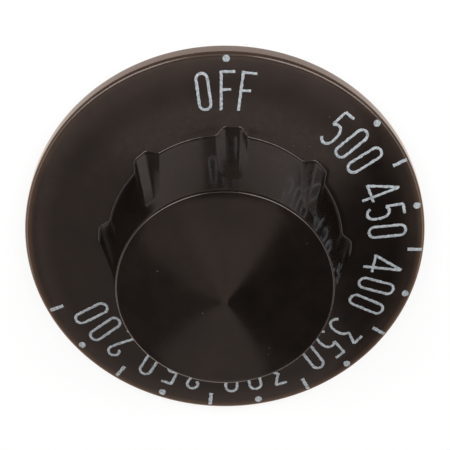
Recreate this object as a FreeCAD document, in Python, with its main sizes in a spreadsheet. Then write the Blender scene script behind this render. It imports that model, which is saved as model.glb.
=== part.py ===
import FreeCAD, Part
import math
import os
import Sketcher
from FreeCAD import Vector

# Oven control knob. A round skirt carries the printed scale; on it stands a tapered grip drum
# with eight ribs under a low conical cap. Behind, the moulding is hollow round a hub whose
# D-shaped socket takes the appliance's shaft, and a bent leaf spring presses on that shaft's flat.
# The turning axis is Z with the cap up, the rim's back face is z = 0, and one rib points to +Y.

SIZES = [
    # skirt, from the back face of its rim
    ("skirt_radius", 31.75),
    ("rim_height", 3.0),
    ("rim_wall", 2.2),
    ("rim_edge_radius", 0.4),
    ("rim_back_chamfer", 0.3),
    ("skirt_wall", 2.0),
    # grip drum and cap
    ("grip_foot_radius", 18.46),
    ("grip_foot_height", 4.45),
    ("grip_top_radius", 16.67),
    ("grip_height", 15.58),
    ("grip_wall", 2.6),
    ("cap_rise", 4.1),
    ("cap_wall", 2.8),
    ("cap_edge_radius", 0.5),
    # ribs of the grip
    ("rib_count", 8),
    ("rib_reach", 1.42),
    ("rib_length", 12.5),
    ("rib_crest_width", 1.5),
    ("rib_foot_width", 6.2),
    ("rib_edge_radius", 1.1),
    ("rib_foot_radius", 0.9),
    ("rib_root", 0.9),
    ("rib_end_width", 4.6),
    ("rib_end_radius", 0.8),
    ("rib_end_depth", 0.05),
    ("rib_end_sink", 0.3),
    # hub and webs in the hollow
    ("hub_setback", 1.0),
    ("hub_radius", 6.2),
    ("hub_root_radius", 6.6),
    ("web_count", 4),
    ("web_thickness", 1.6),
    ("web_setback", 7.0),
    # socket for a quarter-inch shaft with a flat
    ("shaft_diameter", 6.35),
    ("shaft_across_flat", 4.76),
    ("shaft_clearance", 0.05),
    ("socket_depth", 14.5),
    # leaf spring and the slot that holds it
    ("spring_width", 4.0),
    ("spring_thickness", 0.4),
    ("spring_length", 11.2),
    ("spring_foot", 1.5),
    ("spring_crown_length", 1.2),
    ("spring_heel_length", 1.0),
    ("spring_preload", 0.05),
    ("spring_bend_radius", 0.35),
    ("spring_side_clearance", 0.1),
    ("slot_depth", 0.95),
    ("slot_extra_length", 0.6),
    ("notch_depth", 0.6),
]

doc = FreeCAD.newDocument("oven_control_knob")
sheet = doc.addObject("Spreadsheet::Sheet", "sizes")
for row, (alias, value) in enumerate(SIZES, start=1):
    sheet.set("A%d" % row, alias.replace("_", " "))
    sheet.set("B%d" % row, str(value))
    sheet.setAlias("B%d" % row, alias)
doc.recompute()

# Sizes that follow from the ones above.
FACE_RISE = "(sizes.grip_foot_height - sizes.rim_height)"
FACE_SLOPE = "(%s / (sizes.skirt_radius - sizes.grip_foot_radius))" % FACE_RISE
GRIP_SLOPE = "((sizes.grip_foot_radius - sizes.grip_top_radius) / sizes.grip_height)"
CAP_SLOPE = "(sizes.cap_rise / sizes.grip_top_radius)"
SHOULDER = "(sizes.grip_foot_height + sizes.grip_height)"
RIB_END_GRIP = "(sizes.grip_foot_radius - sizes.rib_length * %s)" % GRIP_SLOPE
RIB_CREST = "(sizes.grip_foot_radius + sizes.rib_reach)"
RIB_SLOPE = "((%s - %s + sizes.rib_end_depth) / sizes.rib_length)" % (RIB_CREST, RIB_END_GRIP)
SOCKET_RADIUS = "(sizes.shaft_diameter / 2 + sizes.shaft_clearance)"
SHAFT_FLAT = "(sizes.shaft_across_flat - sizes.shaft_diameter / 2)"
SOCKET_FLAT = "(%s + sizes.shaft_clearance)" % SHAFT_FLAT
SLOT_WALL = "(%s + sizes.slot_depth)" % SOCKET_FLAT
SLOT_HALF = "(sizes.spring_width / 2 + sizes.spring_side_clearance)"


def ceiling(radius):
    """Height of the hollow's ceiling at a radius; it runs parallel to the cap."""
    return "(%s + (sizes.grip_top_radius - %s) * %s - sizes.cap_wall)" % (SHOULDER, radius, CAP_SLOPE)


def underside(radius):
    """Height of the skirt's underside at a radius; it runs parallel to the printed face."""
    return "(sizes.rim_height + (sizes.skirt_radius - %s) * %s - sizes.skirt_wall)" % (radius, FACE_SLOPE)


def origin_feature(body, role):
    return next(f for f in body.Origin.OriginFeatures if f.Role == role)


def new_sketch(body, name, role, height=None):
    """Sketch on one of the body's own planes, raised along the plane's normal."""
    sketch = body.newObject("Sketcher::SketchObject", name)
    sketch.AttachmentSupport = [(origin_feature(body, role), "")]
    sketch.MapMode = "FlatFace"
    if height is not None:
        sketch.setExpression("AttachmentOffset.Base.z", height)
    return sketch


def drive(sketch, constraint, size, name):
    """Add a dimension and bind it to the sheet."""
    index = sketch.addConstraint(constraint)
    sketch.renameConstraint(index, name)
    sketch.setExpression("Constraints." + name, size)


def place_point(sketch, line, end, start, size, name):
    """Place one end of a line by its two sizes; None keeps it on that axis."""
    placings = ((-2, "DistanceX", start[0], size[0]), (-1, "DistanceY", start[1], size[1]))
    for axis, kind, at, value in placings:
        if value is None:
            sketch.addConstraint(Sketcher.Constraint("PointOnObject", line, end, axis))
        else:
            distance = Sketcher.Constraint(kind, -1, 1, line, end, at)
            drive(sketch, distance, value, name + "_" + kind[-1].lower())


def draw_outline(sketch, corners):
    """Closed outline of straight sides. Each corner has a name, a rough start and its two sizes.

    A corner that also has a rough radius and its size is rounded. A construction point stays
    where its two sides would have met and carries the corner's sizes.
    """
    count = len(corners)
    starts = [Vector(corner[1][0], corner[1][1], 0) for corner in corners]
    for i in range(count):
        sketch.addGeometry(Part.LineSegment(starts[i], starts[(i + 1) % count]), False)
    for i, corner in enumerate(corners):
        side_in = (i - 1) % count
        if len(corner) == 3:
            sketch.addConstraint(Sketcher.Constraint("Coincident", side_in, 2, i, 1))
            place_point(sketch, i, 1, corner[1], corner[2], corner[0])
            continue
        name, start, size, rough, radius = corner
        back = (starts[side_in] - starts[i]).normalize()
        ahead = (starts[(i + 1) % count] - starts[i]).normalize()
        half_turn = back.getAngle(ahead) / 2
        reach = rough / math.tan(half_turn)
        centre = starts[i] + (back + ahead).normalize() * (rough / math.sin(half_turn))
        from_in = starts[i] + back * reach - centre
        from_out = starts[i] + ahead * reach - centre
        begin = math.atan2(from_in.y, from_in.x)
        end = math.atan2(from_out.y, from_out.x)
        turns_left = back.cross(ahead).z < 0
        circle = Part.Circle(centre, Vector(0, 0, 1), rough)
        angles = (begin, end) if turns_left else (end, begin)
        arc = sketch.addGeometry(Part.ArcOfCircle(circle, angles[0], angles[1]), False)
        first = 1 if turns_left else 2
        sketch.addConstraint(Sketcher.Constraint("Tangent", side_in, 2, arc, first))
        sketch.addConstraint(Sketcher.Constraint("Tangent", arc, 3 - first, i, 1))
        drive(sketch, Sketcher.Constraint("Radius", arc, rough), radius, name + "_radius")
        mark = sketch.addGeometry(Part.Point(starts[i]), True)
        sketch.addConstraint(Sketcher.Constraint("PointOnObject", mark, 1, side_in))
        sketch.addConstraint(Sketcher.Constraint("PointOnObject", mark, 1, i))
        place_point(sketch, mark, 1, start, size, name)


def edge_names(feature, wanted):
    """Names of a feature's edges that pass a test."""
    return ["Edge%d" % (i + 1) for i, edge in enumerate(feature.Shape.Edges) if wanted(edge)]


def round_edges(body, name, base, edges, size):
    fillet = body.newObject("PartDesign::Fillet", name)
    fillet.Base = (base, edges)
    fillet.setExpression("Radius", size)
    body.Tip = fillet
    doc.recompute()
    return fillet


def repeat_round(body, name, feature, count):
    """Copies of a feature evenly round the turning axis."""
    pattern = body.newObject("PartDesign::PolarPattern", name)
    pattern.Originals = [feature]
    pattern.Axis = (origin_feature(body, "Z_Axis"), [""])
    pattern.Angle = 360
    pattern.setExpression("Occurrences", count)
    body.Tip = pattern
    doc.recompute()
    return pattern


def cut_into_hub(body, name, sketch, depth):
    """Pocket from the hub's back towards the cap; it has to take material away."""
    before = body.Shape.Volume
    pocket = body.newObject("PartDesign::Pocket", name)
    pocket.Profile = sketch
    pocket.Reversed = True
    pocket.setExpression("Length", depth)
    body.Tip = pocket
    doc.recompute()
    if body.Shape.Volume > before - 0.5:
        raise RuntimeError(name + " cuts nothing")
    return pocket


# The moulding: one half section turned round the axis gives rim, skirt, drum, cap, hollow and hub.
knob = doc.addObject("PartDesign::Body", "dial_body")
knob.Label = "dial_body"

RIM_INNER = "(sizes.skirt_radius - sizes.rim_wall)"
HOLLOW_TOP = "(sizes.grip_top_radius - sizes.grip_wall)"
HOLLOW_FOOT = "(sizes.grip_foot_radius - sizes.grip_wall)"
section = new_sketch(knob, "half_section", "XZ_Plane")
draw_outline(section, [
    ("rim_back_inner", (29.6, 0), (RIM_INNER, None)),
    ("rim_back_outer", (31.45, 0), ("sizes.skirt_radius - sizes.rim_back_chamfer", None)),
    ("rim_back", (31.75, 0.3), ("sizes.skirt_radius", "sizes.rim_back_chamfer")),
    ("rim_front", (31.75, 3.0), ("sizes.skirt_radius", "sizes.rim_height"), 0.4, "sizes.rim_edge_radius"),
    ("grip_foot", (18.5, 4.5), ("sizes.grip_foot_radius", "sizes.grip_foot_height")),
    ("shoulder", (16.7, 20.0), ("sizes.grip_top_radius", SHOULDER), 0.5, "sizes.cap_edge_radius"),
    ("apex", (0, 24.1), (None, SHOULDER + " + sizes.cap_rise")),
    ("hub_back_centre", (0, 1), (None, "sizes.hub_setback")),
    ("hub_back", (6.2, 1), ("sizes.hub_radius", "sizes.hub_setback")),
    ("hub_root", (6.6, 19.6), ("sizes.hub_root_radius", ceiling("sizes.hub_root_radius"))),
    ("hollow_top", (14.1, 17.7), (HOLLOW_TOP, ceiling(HOLLOW_TOP))),
    ("hollow_foot", (15.9, 2.6), (HOLLOW_FOOT, underside(HOLLOW_FOOT))),
    ("rim_inner", (29.6, 1), (RIM_INNER, underside(RIM_INNER))),
])
turned = knob.newObject("PartDesign::Revolution", "turned_body")
turned.Profile = section
turned.ReferenceAxis = (section, ["V_Axis"])
turned.Angle = 360
doc.recompute()

# Webs tie the hub to the drum; their roots end inside the walls.
WEB_IN = "(sizes.hub_radius / 2)"
WEB_OUT = "(sizes.grip_top_radius - sizes.grip_wall / 2)"
WEB_OUT_BACK = "(%s + (%s - sizes.web_setback) * %s)" % (WEB_OUT, SHOULDER, GRIP_SLOPE)
web_shape = new_sketch(knob, "web_shape", "XZ_Plane")
draw_outline(web_shape, [
    ("back_in", (3.1, 7), (WEB_IN, "sizes.web_setback")),
    ("back_out", (16.8, 7), (WEB_OUT_BACK, "sizes.web_setback")),
    ("front_out", (15.4, 18.8), (WEB_OUT, ceiling(WEB_OUT) + " + sizes.cap_wall / 2")),
    ("front_in", (3.1, 21.8), (WEB_IN, ceiling(WEB_IN) + " + sizes.cap_wall / 2")),
])
web = knob.newObject("PartDesign::Pad", "web")
web.Profile = web_shape
web.Midplane = True
web.setExpression("Length", "sizes.web_thickness")
knob.Tip = web
doc.recompute()
webs = repeat_round(knob, "webs", web, "sizes.web_count")


def rib_section(name, height, crest, grip, foot_half, sink, edge_size, foot_size, start):
    """Cross-section of a rib: flat crest, rounded edges, sloping flanks and hollow foot fillets.

    start holds rough values: crest height, foot height, half foot width, edge and foot radius.
    """
    sketch = new_sketch(knob, name, "XY_Plane", height)
    top, low, foot, edge_r, foot_r = start
    crest_half = 0.75
    deep = low - 0.6
    normal = Vector(0, 0, 1)
    # the flank is the common tangent of the edge round and the foot fillet
    across, down = foot - crest_half, (low + foot_r) - (top - edge_r)
    lean = math.atan2(down, across) + math.acos((edge_r + foot_r) / math.hypot(across, down))

    def arc(x, y, radius, begin, end):
        return Part.ArcOfCircle(Part.Circle(Vector(x, y, 0), normal, radius), begin, end)

    def line(x1, y1, x2, y2):
        return Part.LineSegment(Vector(x1, y1, 0), Vector(x2, y2, 0))

    quarter = math.pi / 2
    b = (crest_half + edge_r * math.cos(lean), top - edge_r + edge_r * math.sin(lean))
    c = (foot - foot_r * math.cos(lean), low + foot_r - foot_r * math.sin(lean))
    pieces = [
        line(-foot, deep, foot, deep),
        line(foot, deep, foot, low),
        arc(foot, low + foot_r, foot_r, 2 * quarter + lean, 3 * quarter),
        line(c[0], c[1], b[0], b[1]),
        arc(crest_half, top - edge_r, edge_r, lean, quarter),
        line(crest_half, top, -crest_half, top),
        arc(-crest_half, top - edge_r, edge_r, quarter, 2 * quarter - lean),
        line(-b[0], b[1], -c[0], c[1]),
        arc(-foot, low + foot_r, foot_r, 3 * quarter, 4 * quarter - lean),
        line(-foot, low, -foot, deep),
    ]
    for piece in pieces:
        sketch.addGeometry(piece, False)
    # bottom and sides, which lie inside the drum
    for a, a_end, z, z_end in ((0, 2, 1, 1), (1, 2, 2, 2), (8, 1, 9, 1), (9, 2, 0, 1)):
        sketch.addConstraint(Sketcher.Constraint("Coincident", a, a_end, z, z_end))
    # foot fillet to flank, flank to edge round, edge round to crest, on both sides
    right_side = ((2, 1, 3, 1), (3, 2, 4, 1), (4, 2, 5, 1))
    left_side = ((5, 2, 6, 1), (6, 2, 7, 1), (7, 2, 8, 2))
    for a, a_end, z, z_end in right_side + left_side:
        sketch.addConstraint(Sketcher.Constraint("Tangent", a, a_end, z, z_end))
    sketch.addConstraint(Sketcher.Constraint("Horizontal", 0))
    sketch.addConstraint(Sketcher.Constraint("Horizontal", 5))
    sketch.addConstraint(Sketcher.Constraint("Vertical", 1))
    sketch.addConstraint(Sketcher.Constraint("Vertical", 9))
    sketch.addConstraint(Sketcher.Constraint("Vertical", 2, 3, 2, 2))
    sketch.addConstraint(Sketcher.Constraint("Vertical", 8, 3, 8, 1))
    half = "sizes.rib_crest_width / 2"
    place_point(sketch, 5, 1, (crest_half, top), (half, crest), "crest_right")
    crest_line = Sketcher.Constraint("DistanceX", 5, 2, 5, 1, 2 * crest_half)
    drive(sketch, crest_line, "sizes.rib_crest_width", "crest")
    for round_index, foot_index, side in ((4, 2, "right"), (6, 8, "left")):
        drive(sketch, Sketcher.Constraint("Radius", round_index, edge_r), edge_size, "edge_" + side)
        drive(sketch, Sketcher.Constraint("Radius", foot_index, foot_r), foot_size, "foot_" + side)
    foot_level = "%s - %s" % (grip, sink)
    place_point(sketch, 1, 2, (foot, low), (foot_half, foot_level), "foot_end_right")
    place_point(sketch, 9, 1, (-foot, low), ("-" + foot_half, foot_level), "foot_end_left")
    drive(sketch, Sketcher.Constraint("DistanceY", 0, 1, 9, 1, 0.6), "sizes.grip_wall / 4", "depth_in_wall")
    return sketch


# One rib: it stands highest at the skirt and runs out into the drum below the cap.
foot_half = "(sizes.rib_foot_width / 2)"
low_rib = rib_section(
    "rib_foot_section",
    "sizes.grip_foot_height - sizes.rib_root",
    "%s + sizes.rib_root * %s" % (RIB_CREST, RIB_SLOPE),
    "(sizes.grip_foot_radius + sizes.rib_root * %s)" % GRIP_SLOPE,
    foot_half,
    "(%s * %s / 2 / sizes.grip_foot_radius + sizes.rib_end_depth)" % (foot_half, foot_half),
    "sizes.rib_edge_radius",
    "sizes.rib_foot_radius",
    (20.09, 18.25, 3.1, 1.1, 0.9),
)
high_rib = rib_section(
    "rib_end_section",
    "sizes.grip_foot_height + sizes.rib_length",
    "%s - sizes.rib_end_depth" % RIB_END_GRIP,
    RIB_END_GRIP,
    "(sizes.rib_end_width / 2)",
    "sizes.rib_end_sink",
    "sizes.rib_end_radius",
    "sizes.rib_end_radius",
    (16.97, 16.72, 2.3, 0.8, 0.8),
)
doc.recompute()
rib = knob.newObject("PartDesign::AdditiveLoft", "rib")
rib.Profile = low_rib
rib.Sections = [high_rib]
rib.Ruled = True
knob.Tip = rib
doc.recompute()
ribs = repeat_round(knob, "ribs", rib, "sizes.rib_count")

# Socket with its flat, and beside the flat the slot and notch for the spring.
socket_shape = new_sketch(knob, "socket_shape", "XY_Plane", "sizes.hub_setback")
socket_shape.addGeometry(
    Part.ArcOfCircle(Part.Circle(Vector(0, 0, 0), Vector(0, 0, 1), 3.2), 2.6, 6.8), False)
socket_shape.addGeometry(Part.LineSegment(Vector(2.8, 1.6, 0), Vector(-2.8, 1.6, 0)), False)
socket_shape.addConstraint(Sketcher.Constraint("Coincident", 0, 3, -1, 1))
socket_shape.addConstraint(Sketcher.Constraint("Coincident", 0, 2, 1, 1))
socket_shape.addConstraint(Sketcher.Constraint("Coincident", 1, 2, 0, 1))
socket_shape.addConstraint(Sketcher.Constraint("Horizontal", 1))
drive(socket_shape, Sketcher.Constraint("Radius", 0, 3.2), SOCKET_RADIUS, "round")
drive(socket_shape, Sketcher.Constraint("DistanceY", -1, 1, 1, 1, 1.6), SOCKET_FLAT, "flat")
doc.recompute()
cut_into_hub(knob, "socket", socket_shape, "sizes.socket_depth")

slot_shape = new_sketch(knob, "slot_shape", "XY_Plane", "sizes.hub_setback")
draw_outline(slot_shape, [
    ("in_left", (-2.1, 0.8), ("-" + SLOT_HALF, SOCKET_FLAT + " / 2")),
    ("in_right", (2.1, 0.8), (SLOT_HALF, SOCKET_FLAT + " / 2")),
    ("out_right", (2.1, 2.6), (SLOT_HALF, SLOT_WALL)),
    ("out_left", (-2.1, 2.6), ("-" + SLOT_HALF, SLOT_WALL)),
])
doc.recompute()
cut_into_hub(knob, "spring_slot", slot_shape, "sizes.spring_length + sizes.slot_extra_length")

FOOT_END = "(%s + sizes.spring_foot)" % SLOT_WALL
notch_shape = new_sketch(knob, "notch_shape", "XY_Plane", "sizes.hub_setback")
draw_outline(notch_shape, [
    ("in_left", (-2.1, 1.6), ("-" + SLOT_HALF, SOCKET_FLAT)),
    ("in_right", (2.1, 1.6), (SLOT_HALF, SOCKET_FLAT)),
    ("out_right", (2.1, 4.2), (SLOT_HALF, FOOT_END + " + sizes.spring_side_clearance")),
    ("out_left", (-2.1, 4.2), ("-" + SLOT_HALF, FOOT_END + " + sizes.spring_side_clearance")),
])
doc.recompute()
cut_into_hub(knob, "spring_notch", notch_shape, "sizes.notch_depth")

# Leaf spring: its foot lies in the notch, its back touches the slot's wall at both ends, and its
# crown stands proud of the socket's flat. It is drawn from the hub's back face and set in place.
spring = doc.addObject("PartDesign::Body", "shaft_spring")
spring.Label = "shaft_spring"
spring.setExpression("Placement.Base.z", "sizes.hub_setback")

CROWN_IN = "(%s - sizes.spring_preload)" % SHAFT_FLAT
CROWN_OUT = "(%s + sizes.spring_thickness)" % CROWN_IN
LEAF_IN = "(%s - sizes.spring_thickness)" % SLOT_WALL
FOOT_LOW = "(sizes.notch_depth - sizes.spring_thickness)"
HEEL = "(sizes.notch_depth + sizes.spring_heel_length)"
CROWN_MID = "((%s + sizes.spring_length) / 2)" % HEEL
CROWN_LOW = "(%s - sizes.spring_crown_length / 2)" % CROWN_MID
CROWN_HIGH = "(%s + sizes.spring_crown_length / 2)" % CROWN_MID
leaf_shape = new_sketch(spring, "leaf_shape", "YZ_Plane")
draw_outline(leaf_shape, [
    ("foot_tip_low", (4.1, 0.2), (FOOT_END, FOOT_LOW)),
    ("foot_tip", (4.1, 0.6), (FOOT_END, "sizes.notch_depth")),
    ("foot_root", (2.6, 0.6), (SLOT_WALL, "sizes.notch_depth")),
    ("heel_out", (2.6, 1.6), (SLOT_WALL, HEEL)),
    ("crown_low_out", (1.9, 5.8), (CROWN_OUT, CROWN_LOW)),
    ("crown_high_out", (1.9, 7.0), (CROWN_OUT, CROWN_HIGH)),
    ("tip_out", (2.6, 11.2), (SLOT_WALL, "sizes.spring_length")),
    ("tip_in", (2.2, 11.2), (LEAF_IN, "sizes.spring_length")),
    ("crown_high_in", (1.5, 7.0), (CROWN_IN, CROWN_HIGH)),
    ("crown_low_in", (1.5, 5.8), (CROWN_IN, CROWN_LOW)),
    ("heel_in", (2.2, 1.6), (LEAF_IN, HEEL)),
    ("foot_heel", (2.2, 0.2), (LEAF_IN, FOOT_LOW)),
])
leaf = spring.newObject("PartDesign::Pad", "leaf")
leaf.Profile = leaf_shape
leaf.Midplane = True
leaf.setExpression("Length", "sizes.spring_width")
spring.Tip = leaf
doc.recompute()
slot_wall = sheet.shaft_across_flat - sheet.shaft_diameter / 2 + sheet.shaft_clearance + sheet.slot_depth
heel = Vector(0, slot_wall - sheet.spring_thickness, sheet.notch_depth - sheet.spring_thickness)


def on_heel(edge):
    """Test for the outside corner of the bend between foot and leaf."""
    middle = edge.CenterOfMass
    return (middle - heel).Length < 0.01


bend = round_edges(spring, "foot_bend", leaf, edge_names(leaf, on_heel), "sizes.spring_bend_radius")

# Nothing is written unless every feature is sound.
for item in doc.Objects:
    if "Invalid" in item.State or "Error" in item.State:
        raise RuntimeError("%s failed: %s" % (item.Name, item.State))
for body in (knob, spring):
    if body.Shape.isNull() or not body.Shape.isValid() or len(body.Shape.Solids) != 1:
        raise RuntimeError("%s is not one sound solid" % body.Label)

os.makedirs("parts", exist_ok=True)
for body in (knob, spring):
    body.Shape.exportStep("parts/%s.step" % body.Label)
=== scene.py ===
import math
import bmesh
import bpy
import numpy as np
from mathutils import Matrix, Vector, noise


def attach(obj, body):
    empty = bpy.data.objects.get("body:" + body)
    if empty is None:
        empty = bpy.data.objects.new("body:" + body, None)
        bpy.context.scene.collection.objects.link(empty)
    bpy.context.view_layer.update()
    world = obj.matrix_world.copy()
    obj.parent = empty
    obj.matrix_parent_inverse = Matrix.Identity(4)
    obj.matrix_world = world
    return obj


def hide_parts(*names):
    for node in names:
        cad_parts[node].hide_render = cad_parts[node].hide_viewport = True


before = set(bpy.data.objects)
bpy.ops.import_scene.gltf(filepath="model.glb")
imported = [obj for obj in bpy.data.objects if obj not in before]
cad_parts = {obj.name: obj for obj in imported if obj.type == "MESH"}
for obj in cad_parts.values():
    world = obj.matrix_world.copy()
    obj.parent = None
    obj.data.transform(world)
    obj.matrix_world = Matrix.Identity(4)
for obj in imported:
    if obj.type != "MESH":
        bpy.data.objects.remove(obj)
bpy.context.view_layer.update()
bpy.ops.object.select_all(action="DESELECT")

MM = 0.001

# Sizes of the knob in millimetres, as its solids have them, with the skirt a hundredth smaller so that
# it stays inside their box. Three are finer than there: the rim's edge is rounder, the grip's foot has
# a fillet, and the tip of the cap is rounded off.
SKIRT_R = 31.74
RIM_H = 3.0
RIM_EDGE = 0.8
RIM_CHAMFER = 0.3
RIM_INNER_R = 29.55
SKIRT_WALL = 2.0
FOOT_R = 18.46
FOOT_H = 4.45
TOP_R = 16.67
GRIP_H = 15.58
GRIP_WALL = 2.6
CAP_RISE = 4.1
CAP_WALL = 2.8
CAP_EDGE = 0.5
CAP_TIP = 0.7
FOOT_FILLET = 0.3
HUB_R = 6.2
HUB_ROOT_R = 6.6
HUB_BACK = 1.0
SOCKET_R = 3.225
SOCKET_FLAT = 1.635
SOCKET_END = 15.5
SLOT_HALF = 2.1
SLOT_WALL = 2.585
SLOT_END = 12.8
NOTCH_WALL = 4.185
NOTCH_END = 1.6
WEBS = 4
WEB_BACK = 7.0
WEB_HALF = 0.8
# how far a web's inner end runs into the hub
WEB_SINK = 1.0
RIBS = 8
RIB_REACH = 1.42
RIB_LENGTH = 12.5
RIB_ROOT = 0.9
RIB_CREST_HALF = 0.75
RIB_EDGE = 1.1
RIB_FOOT_HALF = 3.1
RIB_FOOT_FILLET = 0.9
RIB_END_HALF = 2.3
RIB_END_EDGE = 0.8
RIB_END_DEPTH = 0.05
RIB_END_SINK = 0.3

SHOULDER = FOOT_H + GRIP_H
FACE_SLOPE = (FOOT_H - RIM_H) / (SKIRT_R - FOOT_R)
GRIP_SLOPE = (FOOT_R - TOP_R) / GRIP_H
CAP_SLOPE = CAP_RISE / TOP_R
# vertices in each ring of the body: half a degree apart, so that rib edges and gloss stay smooth
AROUND = 720
TURN = np.arange(AROUND) * (2 * math.pi / AROUND)
# steps along a rounded corner of the half section, and rings up the grip's side
ARC_STEPS = 8
GRIP_RINGS = 34
# keeps the socket's outline clear of a division by nothing
TINY = 1e-6


def srgb(code):
    """Linear colour of an sRGB hex value."""
    parts = [int(code[i:i + 2], 16) / 255 for i in (1, 3, 5)]
    return tuple(c / 12.92 if c <= 0.04045 else ((c + 0.055) / 1.055) ** 2.4 for c in parts) + (1.0,)


def add_node(tree, kind, settings=None, links=None):
    """Add one shader node, set its properties and sockets, and link its inputs."""
    node = tree.nodes.new(kind)
    for key, value in (settings or {}).items():
        if isinstance(key, str) and hasattr(node, key):
            setattr(node, key, value)
        else:
            node.inputs[key].default_value = value
    for key, source in (links or {}).items():
        tree.links.new(source, node.inputs[key])
    return node


def new_material(name):
    """An empty node material and its tree."""
    material = bpy.data.materials.new(name)
    material.use_nodes = True
    material.node_tree.nodes.clear()
    return material, material.node_tree


def face_height(radius):
    """Height of the skirt's printed face at a radius."""
    return RIM_H + (SKIRT_R - radius) * FACE_SLOPE


def cap_height(radius):
    """Height of the cap at a radius: a cone with a rounded tip."""
    inside = max(0.0, CAP_TIP - radius)
    return SHOULDER + CAP_RISE - CAP_SLOPE * (radius + inside ** 2 / 2 / CAP_TIP)


def grip_radius(height):
    """Radius of the plain drum at a height."""
    return FOOT_R - (height - FOOT_H) * GRIP_SLOPE


def corner_round(before, corner, after, radius, steps):
    """Points of an arc that rounds a corner of the half section."""
    corner = Vector(corner)
    back = (Vector(before) - corner).normalized()
    ahead = (Vector(after) - corner).normalized()
    half = back.angle(ahead) / 2
    centre = corner + (back + ahead).normalized() * (radius / math.sin(half))
    start = corner + back * (radius / math.tan(half)) - centre
    end = corner + ahead * (radius / math.tan(half)) - centre
    sweep = start.angle_signed(end)
    points = []
    for i in range(steps + 1):
        turned = start.copy()
        turned.rotate(Matrix.Rotation(-sweep * i / steps, 2))
        points.append(centre + turned)
    return points


def rib_outline(crest, crest_half, edge, foot_half, foot_level, foot, steps=10):
    """Half cross-section of a rib from the middle of its crest to the end of its foot fillet."""
    # the flank is the common tangent of the edge round and the hollow foot fillet
    edge_centre = Vector((crest_half, crest - edge))
    foot_centre = Vector((foot_half, foot_level + foot))
    between = foot_centre - edge_centre
    lean = math.atan2(between.y, between.x) + math.acos((edge + foot) / between.length)
    crest_steps = 4
    points = [Vector((crest_half * i / crest_steps, crest)) for i in range(crest_steps)]
    for i in range(steps + 1):
        angle = math.pi / 2 + (lean - math.pi / 2) * i / steps
        points.append(edge_centre + Vector((math.cos(angle), math.sin(angle))) * edge)
    for i in range(steps + 1):
        angle = lean + math.pi + (math.pi / 2 - lean) * i / steps
        points.append(foot_centre + Vector((math.cos(angle), math.sin(angle))) * foot)
    return points


# sections of a rib below its foot and at its upper end; it is straight between them
RIB_END_GRIP = FOOT_R - RIB_LENGTH * GRIP_SLOPE
RIB_SLOPE = (FOOT_R + RIB_REACH - RIB_END_GRIP + RIB_END_DEPTH) / RIB_LENGTH
RIB_FOOT_LEVEL = FOOT_R + RIB_ROOT * GRIP_SLOPE - RIB_FOOT_HALF ** 2 / 2 / FOOT_R - RIB_END_DEPTH
RIB_LOW = rib_outline(FOOT_R + RIB_REACH + RIB_ROOT * RIB_SLOPE, RIB_CREST_HALF, RIB_EDGE,
                      RIB_FOOT_HALF, RIB_FOOT_LEVEL, RIB_FOOT_FILLET)
RIB_HIGH = rib_outline(RIB_END_GRIP - RIB_END_DEPTH, RIB_CREST_HALF, RIB_END_EDGE,
                       RIB_END_HALF, RIB_END_GRIP - RIB_END_SINK, RIB_END_EDGE)
RIB_PITCH = 2 * math.pi / RIBS
RIB_TURN = np.abs((TURN + RIB_PITCH / 2) % RIB_PITCH - RIB_PITCH / 2)


def grip_side(height):
    """Radius of the grip round the axis at one height, ribs included."""
    drum = grip_radius(height)
    share = (height - FOOT_H + RIB_ROOT) / (RIB_LENGTH + RIB_ROOT)
    if share >= 1:
        return np.full(AROUND, drum)
    points = [low.lerp(high, share) for low, high in zip(RIB_LOW, RIB_HIGH)]
    turns = [math.atan2(p.x, p.y) for p in points]
    reach = [p.length for p in points]
    return np.maximum(drum, np.interp(RIB_TURN, turns, reach, right=0.0))


def socket_outline(side=0, wall=0):
    """Radius round the axis of the D socket, or of the socket with a slot cut beside its flat."""
    turn = np.abs((TURN + math.pi) % (2 * math.pi) - math.pi)
    towards_flat = np.cos(turn) > 0
    ahead = np.maximum(np.cos(turn), TINY)
    radius = np.minimum(SOCKET_R, np.where(towards_flat, SOCKET_FLAT / ahead, np.inf))
    if side:
        in_slot = np.minimum(wall / ahead, side / np.maximum(np.sin(turn), TINY))
        past_flat = in_slot * (in_slot * ahead > SOCKET_FLAT)
        radius = np.where(towards_flat, np.maximum(radius, past_flat), radius)
    return radius


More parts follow.
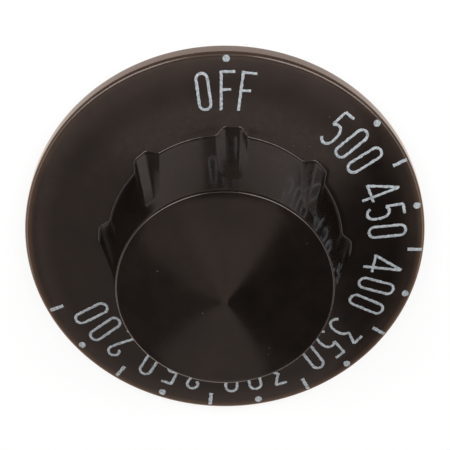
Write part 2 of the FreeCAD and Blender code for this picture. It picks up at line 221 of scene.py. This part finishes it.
def body_rings():
    """Rings of the whole moulding, from the cap's tip over the front and back into the socket."""
    rings = []

    def ring(radius, height):
        """Add one ring, round or of an outline of its own."""
        rings.append((np.broadcast_to(radius, AROUND), np.broadcast_to(height, AROUND)))

    # cap, its rings closest at the rounded tip
    for radius in (0.1, 0.25, 0.4, 0.55, CAP_TIP, 1.0, 2.0, 5.0, 9.0, 13.0, 15.2):
        ring(radius, cap_height(radius))
    tip = (0, SHOULDER + CAP_RISE)
    for point in corner_round(tip, (TOP_R, SHOULDER), (FOOT_R, FOOT_H), CAP_EDGE, ARC_STEPS):
        ring(point.x, point.y)
    # grip
    start = rings[-1][1][0]
    low = FOOT_H + FOOT_FILLET
    for height in np.linspace(start, low, GRIP_RINGS)[1:-1]:
        ring(grip_side(height), height)
    # fillet round the grip's foot, from the side to the printed face
    foot = grip_side(FOOT_H)
    side = grip_side(low)
    face = foot + FOOT_FILLET
    for i in range(ARC_STEPS + 1):
        share = i / ARC_STEPS
        from_side, corner, to_face = (1 - share) ** 2, 2 * share * (1 - share), share ** 2
        radius = from_side * side + corner * foot + to_face * face
        height = from_side * low + corner * face_height(foot) + to_face * face_height(face)
        ring(radius, height)
    # printed face, rim and back
    rim = corner_round((FOOT_R, FOOT_H), (SKIRT_R, RIM_H), (SKIRT_R, 0), RIM_EDGE, ARC_STEPS)
    for share in (0.06, 0.15, 0.3, 0.55, 0.8):
        radius = face + (rim[0].x - face) * share
        ring(radius, face_height(radius))
    for point in rim:
        ring(point.x, point.y)
    ring(SKIRT_R, RIM_CHAMFER)
    ring(SKIRT_R - RIM_CHAMFER, 0.0)
    ring(RIM_INNER_R, 0.0)
    ring(RIM_INNER_R, face_height(RIM_INNER_R) - SKIRT_WALL)
    # hollow and hub
    hollow = FOOT_R - GRIP_WALL
    ring(hollow, face_height(hollow) - SKIRT_WALL)
    for radius in (TOP_R - GRIP_WALL, HUB_ROOT_R):
        ring(radius, SHOULDER + (TOP_R - radius) * CAP_SLOPE - CAP_WALL)
    ring(HUB_R, HUB_BACK)
    # socket: notch for the spring's foot, slot for its leaf, then the plain D
    notch = socket_outline(SLOT_HALF, NOTCH_WALL)
    slot = socket_outline(SLOT_HALF, SLOT_WALL)
    plain = socket_outline()
    for outline, height in ((notch, HUB_BACK), (notch, NOTCH_END),
                            (slot, NOTCH_END), (slot, SLOT_END),
                            (plain, SLOT_END), (plain, SOCKET_END)):
        ring(outline, height)
    return rings


def seat_ring(mesh, radius, height):
    """Move the ring that was just extruded to its outline."""
    edit = bmesh.from_edit_mesh(mesh)
    for vertex in edit.verts:
        if vertex.select:
            turn = math.atan2(vertex.co.x, vertex.co.y)
            i = round(turn / (2 * math.pi / AROUND)) % AROUND
            out = radius[i] * MM
            vertex.co = (out * math.sin(TURN[i]), out * math.cos(TURN[i]), height[i] * MM)
    bmesh.update_edit_mesh(mesh)


def close_pole(mesh, height):
    """Draw the last ring together on the axis."""
    bpy.ops.mesh.extrude_edges_move()
    bpy.ops.mesh.merge(type="CENTER")
    edit = bmesh.from_edit_mesh(mesh)
    for vertex in edit.verts:
        if vertex.select:
            vertex.co = (0, 0, height * MM)
    bmesh.update_edit_mesh(mesh)


def make_moulding():
    """The phenolic moulding, drawn out ring by ring from the tip of the cap."""
    rings = body_rings()
    bpy.ops.mesh.primitive_circle_add(vertices=AROUND, radius=rings[0][0][0] * MM, location=(0, 0, 0))
    body = bpy.context.object
    mesh = body.data
    bpy.ops.object.mode_set(mode="EDIT")
    bpy.ops.mesh.select_mode(type="VERT")
    bpy.ops.mesh.select_all(action="SELECT")
    seat_ring(mesh, *rings[0])
    for radius, height in rings[1:]:
        bpy.ops.mesh.extrude_edges_move()
        seat_ring(mesh, radius, height)
    close_pole(mesh, SOCKET_END)
    # the first ring is the only open edge left
    bpy.ops.mesh.select_all(action="DESELECT")
    bpy.ops.mesh.select_non_manifold()
    close_pole(mesh, cap_height(0))
    bpy.ops.mesh.select_all(action="SELECT")
    bpy.ops.mesh.normals_make_consistent(inside=False)
    bpy.ops.object.mode_set(mode="OBJECT")
    return body


def make_web():
    """One web between hub and drum, its ends inside both walls."""
    bpy.ops.mesh.primitive_cube_add(size=1)
    web = bpy.context.object
    inner = HUB_R - WEB_SINK
    outer = TOP_R - GRIP_WALL / 2
    for vertex in web.data.vertices:
        radius = outer if vertex.co.x > 0 else inner
        top = SHOULDER + (TOP_R - radius) * CAP_SLOPE - CAP_WALL / 2
        if vertex.co.z < 0 and vertex.co.x > 0:
            radius = grip_radius(WEB_BACK) - GRIP_WALL / 2
        height = top if vertex.co.z > 0 else WEB_BACK
        vertex.co = (radius * MM, math.copysign(WEB_HALF, vertex.co.y) * MM, height * MM)
    return web


def join(pieces, name):
    """Join pieces into the first one."""
    bpy.ops.object.select_all(action="DESELECT")
    for piece in pieces:
        piece.select_set(True)
    bpy.context.view_layer.objects.active = pieces[0]
    bpy.ops.object.join()
    whole = bpy.context.object
    whole.name = name
    whole.data.name = name
    bpy.ops.object.select_all(action="DESELECT")
    return whole


def smooth(piece, degrees):
    """Shade a piece smooth, with an edge wherever faces meet at more than an angle."""
    piece.select_set(True)
    bpy.context.view_layer.objects.active = piece
    bpy.ops.object.shade_smooth_by_angle(angle=math.radians(degrees))
    piece.select_set(False)


def spin_copies(piece, count):
    """Copies of a piece round the axis, each with its own mesh."""
    copies = [piece]
    for i in range(1, count):
        copy = piece.copy()
        copy.data = piece.data.copy()
        copy.data.transform(Matrix.Rotation(2 * math.pi * i / count, 4, "Z"))
        bpy.context.collection.objects.link(copy)
        copies.append(copy)
    return copies


# Black phenolic, compression moulded: a very dark brown deep gloss, faintly cloudy. A brown haze of
# handling lies along the skirt's rim, its edge worn brown with a painted reflection, and dust with a
# painted sheen lies by the grip's foot; the grip's side is the most uneven.
phenolic, tree = new_material("black_phenolic_moulded")
place = add_node(tree, "ShaderNodeTexCoord")
# clouds from about five millimetres across down to fine grain
cloud = add_node(tree, "ShaderNodeTexNoise",
                 {"Scale": 1 / (5 * MM), "Detail": 8.0, "Roughness": 0.68},
                 {"Vector": place.outputs["Object"]})
depth = add_node(tree, "ShaderNodeMapRange", {"From Min": 0.3, "From Max": 0.7},
                 {"Value": cloud.outputs["Fac"]})
tint = add_node(tree, "ShaderNodeMix",
                {"data_type": "RGBA", 6: srgb("#0d0a08"), 7: srgb("#1d1612")},
                {0: depth.outputs["Result"]})
spot = add_node(tree, "ShaderNodeSeparateXYZ", None, {0: place.outputs["Object"]})
flat = add_node(tree, "ShaderNodeCombineXYZ", None, {"X": spot.outputs["X"], "Y": spot.outputs["Y"]})
reach = add_node(tree, "ShaderNodeVectorMath", {"operation": "LENGTH"}, {0: flat.outputs["Vector"]})
patch = add_node(tree, "ShaderNodeMapRange",
                 {"From Min": 0.3, "From Max": 0.7, "To Min": 0.6, "To Max": 1.0},
                 {"Value": cloud.outputs["Fac"]})
# the haze of handling grows over the outer five millimetres of the face
outer = add_node(tree, "ShaderNodeMapRange",
                 {"interpolation_type": "SMOOTHSTEP", "From Min": 26.5 * MM, "From Max": 31.8 * MM},
                 {"Value": reach.outputs["Value"]})
# the last millimetre, at the rim's edge, is worn brown and painted lighter as a reflection on its
# rounding, both most on the side away from the off mark
edge = add_node(tree, "ShaderNodeMapRange", {"From Min": 30.4 * MM, "From Max": 31.6 * MM},
                {"Value": reach.outputs["Value"]})
above = add_node(tree, "ShaderNodeMapRange", {"From Min": 1.7 * MM, "From Max": 2.4 * MM},
                 {"Value": spot.outputs["Z"]})
# painted reflection on the rim's rounding, with the wear, strongest on the side away from the off mark
wear_and_reflection_side = add_node(tree, "ShaderNodeMapRange",
                   {"From Min": 2 * MM, "From Max": 18 * MM, "To Min": 1.0, "To Max": 0.25},
                   {"Value": spot.outputs["Y"]})
# dust lies by the grip's foot and on its side below the off mark, in specks of about a millimetre; it
# is also a painted sheen that lightens and browns that side
speck = add_node(tree, "ShaderNodeTexNoise", {"Scale": 0.9 / MM, "Detail": 6.0, "Roughness": 0.7},
                 {"Vector": place.outputs["Object"]})
speck = add_node(tree, "ShaderNodeMapRange",
                 {"From Min": 0.35, "From Max": 0.7, "To Min": 0.4, "To Max": 1.3, "clamp": False},
                 {"Value": speck.outputs["Fac"]})
foot = add_node(tree, "ShaderNodeMapRange",
                {"interpolation_type": "SMOOTHSTEP", "From Min": 22.5 * MM, "From Max": 26.2 * MM,
                 "To Min": 1.0, "To Max": 0.0},
                {"Value": reach.outputs["Value"]})
# dust, and a painted sheen, only on the off mark's side
dust_and_sheen_side = add_node(tree, "ShaderNodeMapRange",
                    {"interpolation_type": "SMOOTHSTEP", "From Min": 9 * MM, "From Max": 17.5 * MM},
                    {"Value": spot.outputs["Y"]})
below_cap = add_node(tree, "ShaderNodeMapRange",
                     {"From Min": 4.5 * MM, "From Max": 19.5 * MM, "To Min": 1.0, "To Max": 0.0},
                     {"Value": spot.outputs["Z"]})
# none lies on the skirt's back
front = add_node(tree, "ShaderNodeMapRange", {"From Min": 2.6 * MM, "From Max": 3.2 * MM},
                 {"Value": spot.outputs["Z"]})
# a few stray specks of dust a quarter of a millimetre across
stray = add_node(tree, "ShaderNodeTexVoronoi", {"Scale": 1 / (2.5 * MM)},
                 {"Vector": place.outputs["Object"]})
pick = add_node(tree, "ShaderNodeSeparateColor", None, {0: stray.outputs["Color"]})
pick = add_node(tree, "ShaderNodeMapRange", {"From Min": 0.7, "From Max": 0.72},
                {"Value": pick.outputs[0]})
mote = add_node(tree, "ShaderNodeMapRange",
                {"From Min": 0.03, "From Max": 0.055, "To Min": 0.8, "To Max": 0.0},
                {"Value": stray.outputs["Distance"]})
# haze; the rim's worn edge with its painted reflection; dust with its painted sheen; stray specks of
# dust
for masks, colour in (((outer, patch, below_cap), "#3a312d"),
                      ((edge, above, wear_and_reflection_side, patch), "#6e5543"),
                      ((foot, dust_and_sheen_side, below_cap, front, speck), "#2a2421"),
                      ((mote, pick, front), "#6e6863")):
    share = masks[0].outputs["Result"]
    for mask in masks[1:]:
        share = add_node(tree, "ShaderNodeMath", {"operation": "MULTIPLY"},
                         {0: share, 1: mask.outputs["Result"]}).outputs[0]
    tint = add_node(tree, "ShaderNodeMix", {"data_type": "RGBA", 7: srgb(colour)},
                    {0: share, 6: tint.outputs[2]})
# grip and cap are rubbed duller than the face
rubbed = add_node(tree, "ShaderNodeMapRange",
                  {"From Min": 4.8 * MM, "From Max": 6 * MM, "To Min": 0.09, "To Max": 0.115},
                  {"Value": spot.outputs["Z"]})
gloss = add_node(tree, "ShaderNodeMath", {"operation": "MULTIPLY_ADD", 1: 0.07},
                 {0: cloud.outputs["Fac"], 2: rubbed.outputs["Result"]})
# the moulded skin ripples about a millimetre apart, most on the grip's side
ripple = add_node(tree, "ShaderNodeMapRange",
                  {"From Min": 4.8 * MM, "From Max": 6 * MM, "To Min": 0.05, "To Max": 0.13},
                  {"Value": spot.outputs["Z"]})
ripple = add_node(tree, "ShaderNodeMapRange",
                  {"From Min": 18.5 * MM, "From Max": 19.5 * MM, "To Max": 0.05},
                  {"Value": spot.outputs["Z"], "To Min": ripple.outputs["Result"]})
peel = add_node(tree, "ShaderNodeTexNoise", {"Scale": 1 / MM, "Detail": 4.0},
                {"Vector": place.outputs["Object"]})
bump = add_node(tree, "ShaderNodeBump", {"Distance": 0.05 * MM},
                {"Height": peel.outputs["Fac"], "Strength": ripple.outputs["Result"]})
shader = add_node(tree, "ShaderNodeBsdfPrincipled", {"IOR": 1.63, "Specular Tint": srgb("#ffefea")},
                  {"Base Color": tint.outputs[2], "Roughness": gloss.outputs[0],
                   "Normal": bump.outputs["Normal"]})
add_node(tree, "ShaderNodeOutputMaterial", None, {"Surface": shader.outputs["BSDF"]})

# White screen-printed ink: matt, a little blue, not quite even.
ink, tree = new_material("white_printing_ink")
place = add_node(tree, "ShaderNodeTexCoord")
cover = add_node(tree, "ShaderNodeTexNoise", {"Scale": 1 / (0.4 * MM), "Detail": 3.0},
                 {"Vector": place.outputs["Object"]})
cover = add_node(tree, "ShaderNodeMapRange", {"From Min": 0.3, "From Max": 0.65},
                 {"Value": cover.outputs["Fac"]})
tint = add_node(tree, "ShaderNodeMix",
                {"data_type": "RGBA", 6: srgb("#959ea5"), 7: srgb("#d1d8dd")},
                {0: cover.outputs["Result"]})
shader = add_node(tree, "ShaderNodeBsdfPrincipled", {"Roughness": 0.6, "IOR": 1.48},
                  {"Base Color": tint.outputs[2]})
add_node(tree, "ShaderNodeOutputMaterial", None, {"Surface": shader.outputs["BSDF"]})

# Cold-rolled spring steel: blue-grey, drawn lines along the strip.
steel, tree = new_material("cold_rolled_spring_steel")
place = add_node(tree, "ShaderNodeTexCoord")
# lines an eighth of a millimetre apart and some three millimetres long
along = add_node(tree, "ShaderNodeMapping", {"Scale": (8 / MM, 8 / MM, 0.3 / MM)},
                 {"Vector": place.outputs["Object"]})
grain = add_node(tree, "ShaderNodeTexNoise", {"Scale": 1.0, "Detail": 3.0},
                 {"Vector": along.outputs["Vector"]})
tint = add_node(tree, "ShaderNodeMix",
                {"data_type": "RGBA", 6: srgb("#8f9297"), 7: srgb("#b4b6b9")},
                {0: grain.outputs["Fac"]})
gloss = add_node(tree, "ShaderNodeMapRange", {"To Min": 0.25, "To Max": 0.4},
                 {"Value": grain.outputs["Fac"]})
shader = add_node(tree, "ShaderNodeBsdfPrincipled", {"Metallic": 1.0},
                  {"Base Color": tint.outputs[2], "Roughness": gloss.outputs["Result"]})
add_node(tree, "ShaderNodeOutputMaterial", None, {"Surface": shader.outputs["BSDF"]})


def wear(piece, material):
    """Give a piece its material, and let it ride on the knob."""
    piece.data.materials.clear()
    piece.data.materials.append(material)
    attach(piece, "root")


moulding = make_moulding()
webs = spin_copies(make_web(), WEBS)
moulding = join([moulding] + webs, "knob_moulding")
smooth(moulding, degrees=32)
wear(moulding, phenolic)
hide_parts("dial_body")

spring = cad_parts["shaft_spring"]
spring.data.materials.clear()
spring.data.materials.append(steel)

# The printed scale, in millimetres and degrees clockwise from the off mark. Characters are drawn with
# x along the print and y up from its foot.
PRINT_TURN = -3.8
PRINT_FOOT = 22.37
# the print sits a little off the moulding's centre
PRINT_SHIFT = Vector((0.14, 0.20))
STROKE = 0.44
# an ink stroke is made of points this far apart
STROKE_STEP = 0.2
# half the thickness of the ink, whose lower half is in the face
INK = 0.03
# the ink's edge wanders by up to this much, over this many waves to a millimetre
WANDER = 0.09
WAVES = 2.2
# sets the wander across apart from the wander along
APART = Vector((31, 7, 0))
# lower and upper end of a figure's strokes
LOW, HIGH = 0.28, 6.12
DOT_R = 0.56
DOT_SIDES = 28
DOT_PLACE = 30.6
TICK_LENGTH = 2.35
TICK_WIDTH = 0.57
TICK_FOOT = 28.95


def bend(cx, cy, rx, ry, start, end, steps=10):
    """Points along part of an ellipse, angles in degrees."""
    span = [math.radians(start + (end - start) * i / steps) for i in range(steps + 1)]
    return [(cx + rx * math.cos(a), cy + ry * math.sin(a)) for a in span]


def loop_figure(half):
    """A long round loop, as in O and 0, of a half width."""
    top = bend(0, HIGH - half, half, half, 180, 0)
    foot = bend(0, LOW + half, half, half, 0, -180)
    return [top + foot + top[:1]]


# the round lower half that 3 and 5 share
BOWL = [(0.35, 3.72), (0.72, 3.3), (0.9, 2.7), (0.94, 2.0), (0.86, 1.2),
        (0.62, 0.62), (0.2, 0.31), (-0.25, 0.3), (-0.7, 0.52), (-1.0, 0.88)]
FIGURES = {
    "O": loop_figure(0.88),
    "0": loop_figure(0.92),
    "F": [[(-0.92, 0.02), (-0.95, HIGH)],
          [(-1.2, HIGH), (1.2, HIGH + 0.06)],
          [(-0.95, 3.25), (0.6, 3.36)]],
    "5": [[(0.95, HIGH), (-0.82, HIGH)],
          [(-0.78, HIGH), (-0.95, 3.4)],
          [(-0.95, 3.4), (-0.5, 3.75), (-0.1, 3.84)] + BOWL],
    "4": [[(0.62, HIGH + 0.1), (-1.45, 1.62)],
          [(-1.62, 1.6), (1.6, 1.64)],
          [(0.66, HIGH), (0.74, 0.02)]],
    "3": [[(-1.0, HIGH), (0.9, HIGH)],
          [(0.88, HIGH), (-0.2, 3.95)],
          [(-0.2, 3.95), (0.05, 3.88)] + BOWL],
    "2": [[(-0.45, 4.6), (-0.72, 4.68)] + bend(-0.02, 5.2, 0.9, 0.9, 200, -25)
          + [(0.4, 3.75), (-0.25, 2.45), (-0.75, 1.4), (-0.95, 0.6)],
          [(-1.0, 0.6), (1.0, 0.6)]],
}
CHARACTERS = [
    ("O", -7.6), ("F", 0.6), ("F", 7.4),
    ("5", 42.1), ("0", 49.8), ("0", 57.8),
    ("4", 70.8), ("5", 79.6), ("0", 87.3),
    ("4", 100.8), ("0", 109.8), ("0", 118.0),
    ("3", 131.4), ("5", 139.2), ("0", 147.2),
    ("3", 161.6), ("0", 170.0), ("0", 178.2),
    ("2", 191.6), ("5", 200.0), ("0", 208.5),
    ("2", 221.5), ("0", 229.9), ("0", 238.0),
]
DOTS = [0.2, 49.9, 79.7, 109.7, 139.9, 170.0, 200.1, 229.9]
TICKS = [64.5, 94.4, 124.9, 154.5, 184.9, 215.0, 244.8]


def stroke_mesh(strokes, width):
    """Flat ink strokes: a bevelled curve made a mesh and pressed flat."""
    curve = bpy.data.curves.new("ink_stroke", "CURVE")
    curve.dimensions = "3D"
    curve.bevel_depth = width / 2
    curve.bevel_resolution = 2
    curve.use_fill_caps = True
    for points in strokes:
        dense = [Vector(points[0])]
        for a, b in zip(points, points[1:]):
            steps = max(1, round((Vector(b) - Vector(a)).length / STROKE_STEP))
            dense += [Vector(a).lerp(Vector(b), (i + 1) / steps) for i in range(steps)]
        spline = curve.splines.new("POLY")
        spline.points.add(len(dense) - 1)
        for point, at in zip(spline.points, dense):
            point.co = (at.x, at.y, 0, 1)
    piece = bpy.data.objects.new("ink_stroke", curve)
    bpy.context.collection.objects.link(piece)
    piece.select_set(True)
    bpy.context.view_layer.objects.active = piece
    bpy.ops.object.convert(target="MESH")
    piece = bpy.context.object
    piece.data.transform(Matrix.Diagonal((1, 1, INK / (width / 2), 1)))
    bpy.ops.object.select_all(action="DESELECT")
    return piece


def ink_dot():
    """One round flat dot of ink."""
    bpy.ops.mesh.primitive_cylinder_add(vertices=DOT_SIDES, radius=DOT_R, depth=2 * INK)
    dot = bpy.context.object
    bpy.ops.object.select_all(action="DESELECT")
    return dot


def lay_on_face(piece, turn, foot):
    """Lay a flat piece of print on the skirt's face at an angle clockwise from the off mark."""
    turn = math.radians(turn + PRINT_TURN)
    out = Vector((math.sin(turn), math.cos(turn)))
    along = Vector((math.cos(turn), -math.sin(turn)))
    for vertex in piece.data.vertices:
        at = out * (foot + vertex.co.y) + along * vertex.co.x + PRINT_SHIFT
        # the ink's edge wanders a little, as print does
        seed = Vector((at.x, at.y, 0)) * WAVES
        at += Vector((noise.noise(seed), noise.noise(seed + APART))) * WANDER
        vertex.co = (at.x * MM, at.y * MM, (face_height(at.length) + vertex.co.z) * MM)
    return piece


prints = []
for figure, turn in CHARACTERS:
    prints.append(lay_on_face(stroke_mesh(FIGURES[figure], STROKE), turn, PRINT_FOOT))
for turn in DOTS:
    prints.append(lay_on_face(ink_dot(), turn, DOT_PLACE))
for turn in TICKS:
    tick = stroke_mesh([[(0, 0), (0, TICK_LENGTH)]], TICK_WIDTH)
    prints.append(lay_on_face(tick, turn, TICK_FOOT))
scale_print = join(prints, "scale_print")
smooth(scale_print, degrees=40)
wear(scale_print, ink)

# The stage stands as in the photograph, whose off mark is turned away from the nearest rib.
STAGE = Matrix.Rotation(math.radians(-PRINT_TURN), 4, "Z")

# White table: the eye sees it white with the knob's shadow. In a gloss it glows as painted light,
# bright beside the knob and beyond it. It falls away into the dim room on the camera's side and,
# farther off, on the right.
table_top, tree = new_material("white_table")
path = add_node(tree, "ShaderNodeLightPath")
place = add_node(tree, "ShaderNodeTexCoord")
reach = add_node(tree, "ShaderNodeVectorMath", {"operation": "LENGTH"}, {0: place.outputs["Object"]})
spot = add_node(tree, "ShaderNodeSeparateXYZ", None, {0: place.outputs["Object"]})
bearing = add_node(tree, "ShaderNodeMath", {"operation": "DIVIDE"},
                   {0: spot.outputs["Y"], 1: reach.outputs["Value"]})
across = add_node(tree, "ShaderNodeMath", {"operation": "DIVIDE"},
                  {0: spot.outputs["X"], 1: reach.outputs["Value"]})
# the first centimetre or two round the rim
beyond = add_node(tree, "ShaderNodeMapRange",
                  {"From Min": 0.06, "From Max": 0.57, "To Min": 0.9, "To Max": 0.12},
                  {"Value": bearing.outputs["Value"]})
beside = add_node(tree, "ShaderNodeMapRange",
                  {"interpolation_type": "SMOOTHSTEP", "From Min": 33.2 * MM, "From Max": 35.6 * MM,
                   "To Min": 1.35},
                  {"Value": reach.outputs["Value"], "To Max": beyond.outputs["Result"]})
# farther off
aside = add_node(tree, "ShaderNodeMapRange",
                 {"From Min": 0.0, "From Max": 0.5, "To Min": 1.0, "To Max": 0.25},
                 {"Value": across.outputs["Value"]})
distant = add_node(tree, "ShaderNodeMapRange",
                   {"From Min": -0.95, "From Max": -0.1, "To Min": 1.4, "To Max": 0.12},
                   {"Value": bearing.outputs["Value"]})
distant = add_node(tree, "ShaderNodeMath", {"operation": "MULTIPLY"},
                   {0: distant.outputs["Result"], 1: aside.outputs["Result"]})
bright = add_node(tree, "ShaderNodeMapRange",
                  {"interpolation_type": "SMOOTHSTEP", "From Min": 40 * MM, "From Max": 56 * MM},
                  {"Value": reach.outputs["Value"], "To Min": beside.outputs["Result"],
                   "To Max": distant.outputs[0]})
matt = add_node(tree, "ShaderNodeBsdfDiffuse", {"Color": srgb("#f2f2f2")})
white = add_node(tree, "ShaderNodeEmission", {"Color": srgb("#ffffff"), "Strength": 1.12})
# the table's gloss is a painted glow, seen only in reflections
gleam = add_node(tree, "ShaderNodeEmission", {"Color": srgb("#ffecdf")},
                 {"Strength": bright.outputs["Result"]})
# three quarters of what the eye sees is plain white, so the shadow stays faint
share = add_node(tree, "ShaderNodeMath", {"operation": "MULTIPLY", 1: 0.75},
                 {0: path.outputs["Is Camera Ray"]})
seen = add_node(tree, "ShaderNodeMixShader", None,
                {0: share.outputs[0], 1: matt.outputs["BSDF"], 2: white.outputs["Emission"]})
glossy = add_node(tree, "ShaderNodeMath", {"operation": "MAXIMUM"},
                  {0: path.outputs["Is Glossy Ray"], 1: path.outputs["Is Transmission Ray"]})
blend = add_node(tree, "ShaderNodeMixShader", None,
                 {0: glossy.outputs[0], 1: seen.outputs["Shader"], 2: gleam.outputs["Emission"]})
add_node(tree, "ShaderNodeOutputMaterial", None, {"Surface": blend.outputs["Shader"]})
TABLE_WIDTH = 4
# the table is just below the rim's back face, so that the two don't coincide
TABLE_DROP = 0.05 * MM
bpy.ops.mesh.primitive_plane_add(size=TABLE_WIDTH, location=(0, 0, -TABLE_DROP))
floor = bpy.context.object
floor.name = "table_top"
floor.data.materials.append(table_top)

# Dim room; the eye sees white past the table.
world = bpy.data.worlds.new("dim_room")
bpy.context.scene.world = world
world.use_nodes = True
tree = world.node_tree
tree.nodes.clear()
path = add_node(tree, "ShaderNodeLightPath")
room = add_node(tree, "ShaderNodeBackground", {"Color": srgb("#fff6f0"), "Strength": 0.05})
white = add_node(tree, "ShaderNodeBackground", {"Color": srgb("#ffffff"), "Strength": 1.0})
blend = add_node(tree, "ShaderNodeMixShader", None,
                 {0: path.outputs["Is Camera Ray"], 1: room.outputs[0], 2: white.outputs[0]})
add_node(tree, "ShaderNodeOutputWorld", None, {"Surface": blend.outputs[0]})


def soft_panel(name, at, facing, width, length, radiance, colour):
    """Rectangular soft light of an even brightness, placed and sized in metres."""
    lamp = bpy.data.lights.new(name, "AREA")
    lamp.shape = "RECTANGLE"
    lamp.size = width
    lamp.size_y = length
    lamp.color = srgb(colour)[:3]
    lamp.energy = radiance * math.pi * width * length
    panel = bpy.data.objects.new(name, lamp)
    turned = Vector(facing).to_track_quat("-Z", "Y").to_matrix().to_4x4()
    panel.matrix_world = STAGE @ Matrix.Translation(at) @ turned
    panel.visible_camera = False
    bpy.context.collection.objects.link(panel)


WARM = "#fff4ee"
WHITE = "#ffffff"
DOWN = (0, 0, -1)
# A long warm strip overhead, which the cap and skirt mirror, dimmer at its far end and along its left
# side, with a faint panel past that side.
soft_panel("overhead_strip", (0.0085, -0.09, 0.3), DOWN, 0.167, 0.24, 0.39, WARM)
soft_panel("strip_end", (0.0085, -0.36, 0.3), DOWN, 0.167, 0.30, 0.31, WARM)
soft_panel("strip_side", (-0.108, -0.24, 0.3), DOWN, 0.066, 0.54, 0.29, WARM)
soft_panel("left_wall", (-0.29, -0.24, 0.3), DOWN, 0.29, 0.54, 0.06, WARM)
# Two wide banks above and behind the camera, dim between them, which light the print and draw the
# bright lines along edges and fillets.
soft_panel("left_bank", (-0.66, 0.60, 0.62), DOWN, 0.86, 0.60, 4.2, WHITE)
soft_panel("middle_bank", (-0.035, 0.60, 0.62), DOWN, 0.39, 0.60, 0.7, WHITE)
soft_panel("right_bank", (0.62, 0.60, 0.62), DOWN, 0.92, 0.60, 4.2, WHITE)
# A low screen on either side, and a wall beyond the knob.
soft_panel("left_screen", (-0.6, -0.05, 0.24), (1, 0, 0), 0.9, 0.36, 1.3, WHITE)
soft_panel("right_screen", (0.6, -0.05, 0.24), (-1, 0, 0), 0.9, 0.36, 1.3, WHITE)
soft_panel("far_wall", (0.0, -0.52, 0.15), (0, 1, 0), 1.2, 0.28, 0.55, WARM)

# Camera fitted to the photograph, in pixels and millimetres: rim, grip, cap and marks line up.
FRAME_PX = 450
SENSOR = 36
F_PX = 2209.271
DISTANCE = 353.235
TILT = math.radians(27.198)
AZIMUTH = math.radians(-0.003)
ROLL = math.radians(-0.146)
SIDE, RAISE = -0.019, -0.608
back = Vector((math.sin(AZIMUTH) * math.cos(TILT), math.sin(TILT),
               math.cos(AZIMUTH) * math.cos(TILT))).normalized()
right = Vector((0, 1, 0)).cross(back).normalized()
up = back.cross(right)
right, up = (right * math.cos(ROLL) + up * math.sin(ROLL),
             up * math.cos(ROLL) - right * math.sin(ROLL))
eye = back * DISTANCE - right * SIDE - up * RAISE
lens = bpy.data.cameras.new("photo_camera")
lens.sensor_width = SENSOR
lens.lens = SENSOR * F_PX / FRAME_PX
camera = bpy.data.objects.new("photo_camera", lens)
bpy.context.collection.objects.link(camera)
pose = Matrix((right, up, back)).transposed().to_4x4()
pose.translation = eye * MM
camera.matrix_world = STAGE @ pose
bpy.context.scene.camera = camera

bpy.context.scene.view_settings.view_transform = "Standard"
